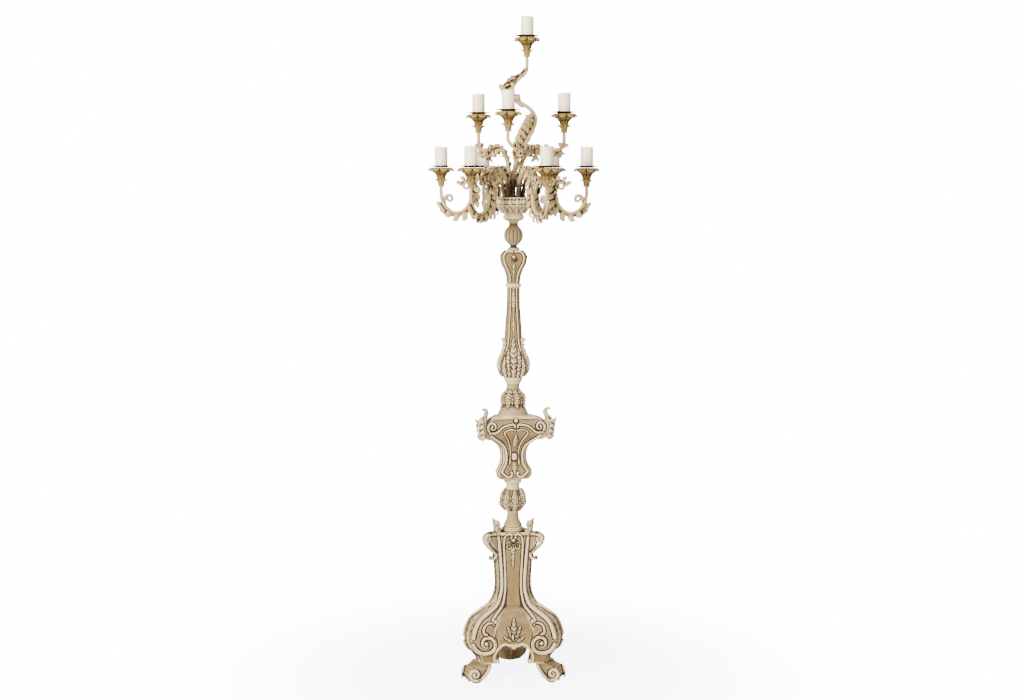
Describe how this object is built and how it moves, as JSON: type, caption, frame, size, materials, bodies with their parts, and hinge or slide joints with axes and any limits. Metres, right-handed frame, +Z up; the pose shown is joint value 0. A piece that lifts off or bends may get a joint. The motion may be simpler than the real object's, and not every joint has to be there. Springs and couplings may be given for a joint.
{
  "type": "candelabrum floor lamp",
  "caption": "Tall carved wooden floor candelabrum on three scroll feet, with acanthus arms in tiers that carry flower cups, drip pans and lift-off candles.",
  "frame": {"origin": "on the floor, under the middle of the stem", "axes": "+Z up along the stem, -Y towards the front panel of the base"},
  "size_m": [0.5328, 0.4928, 2.0815],
  "materials": {
    "carved_wood": "aged ivory paint rubbed through to a golden brown patina",
    "ivory_turning": "aged ivory paint on turned wood",
    "bare_wood": "bare sawn wood",
    "steel": "plain zinc plated",
    "gilt_foliage": "rubbed ivory over dull gold",
    "dark_bronze": "dark patinated bronze",
    "wax": "ivory wax"
  },
  "bodies": {
    "root": {"foot_left": "carved_wood", "foot_right": "carved_wood", "foot_rear": "carved_wood", "base_core": "bare_wood", "base_panel_front": "carved_wood", "base_panel_right": "carved_wood", "base_panel_left": "carved_wood", "base_stile_left": "carved_wood", "base_stile_right": "carved_wood", "base_stile_rear": "carved_wood", "base_bracket_left": "carved_wood", "base_bracket_right": "carved_wood", "base_bracket_rear": "carved_wood", "base_collar": "ivory_turning", "leaf_knop": "carved_wood", "pedestal_ring": "ivory_turning", "pedestal": "carved_wood", "pedestal_ear_left": "carved_wood", "pedestal_ear_right": "carved_wood", "pedestal_ear_rear": "carved_wood", "dome_cap": "carved_wood", "column_ring": "ivory_turning", "lower_column": "carved_wood", "column_collar": "ivory_turning", "upper_column": "carved_wood", "gadroon_knop": "carved_wood", "bowl_ring": "ivory_turning", "bowl": "carved_wood", "arm_block": "bare_wood", "tie_rod": "steel", "tie_rod_washer": "steel", "tie_rod_nut": "steel", "lower_arm_1": "gilt_foliage", "lower_arm_2": "gilt_foliage", "lower_arm_3": "gilt_foliage", "lower_arm_4": "gilt_foliage", "lower_arm_5": "gilt_foliage", "lower_arm_6": "gilt_foliage", "middle_arm_1": "gilt_foliage", "middle_arm_2": "gilt_foliage", "middle_arm_3": "gilt_foliage", "top_arm": "gilt_foliage", "lower_cups": "gilt_foliage", "middle_cups": "gilt_foliage", "top_cup": "gilt_foliage", "lower_pans": "dark_bronze", "middle_pans": "dark_bronze", "top_pan": "dark_bronze"},
    "candle_lower_1_body": {"candle_lower_1": "wax"},
    "candle_lower_2_body": {"candle_lower_2": "wax"},
    "candle_lower_3_body": {"candle_lower_3": "wax"},
    "candle_lower_4_body": {"candle_lower_4": "wax"},
    "candle_lower_5_body": {"candle_lower_5": "wax"},
    "candle_lower_6_body": {"candle_lower_6": "wax"},
    "candle_middle_1_body": {"candle_middle_1": "wax"},
    "candle_middle_2_body": {"candle_middle_2": "wax"},
    "candle_middle_3_body": {"candle_middle_3": "wax"},
    "candle_top_body": {"candle_top": "wax"}
  },
  "joints": [
    {"name": "lower_1_candle_lift", "type": "slide", "parent": "root", "child": "candle_lower_1_body", "axis": [0, 0, 1], "range_m": [0, 0.045]},
    {"name": "lower_2_candle_lift", "type": "slide", "parent": "root", "child": "candle_lower_2_body", "axis": [0, 0, 1], "range_m": [0, 0.045]},
    {"name": "lower_3_candle_lift", "type": "slide", "parent": "root", "child": "candle_lower_3_body", "axis": [0, 0, 1], "range_m": [0, 0.045]},
    {"name": "lower_4_candle_lift", "type": "slide", "parent": "root", "child": "candle_lower_4_body", "axis": [0, 0, 1], "range_m": [0, 0.045]},
    {"name": "lower_5_candle_lift", "type": "slide", "parent": "root", "child": "candle_lower_5_body", "axis": [0, 0, 1], "range_m": [0, 0.045]},
    {"name": "lower_6_candle_lift", "type": "slide", "parent": "root", "child": "candle_lower_6_body", "axis": [0, 0, 1], "range_m": [0, 0.045]},
    {"name": "middle_1_candle_lift", "type": "slide", "parent": "root", "child": "candle_middle_1_body", "axis": [0, 0, 1], "range_m": [0, 0.045]},
    {"name": "middle_2_candle_lift", "type": "slide", "parent": "root", "child": "candle_middle_2_body", "axis": [0, 0, 1], "range_m": [0, 0.045]},
    {"name": "middle_3_candle_lift", "type": "slide", "parent": "root", "child": "candle_middle_3_body", "axis": [0, 0, 1], "range_m": [0, 0.045]},
    {"name": "top_candle_lift", "type": "slide", "parent": "root", "child": "candle_top_body", "axis": [0, 0, 1], "range_m": [0, 0.045]}
  ]
}
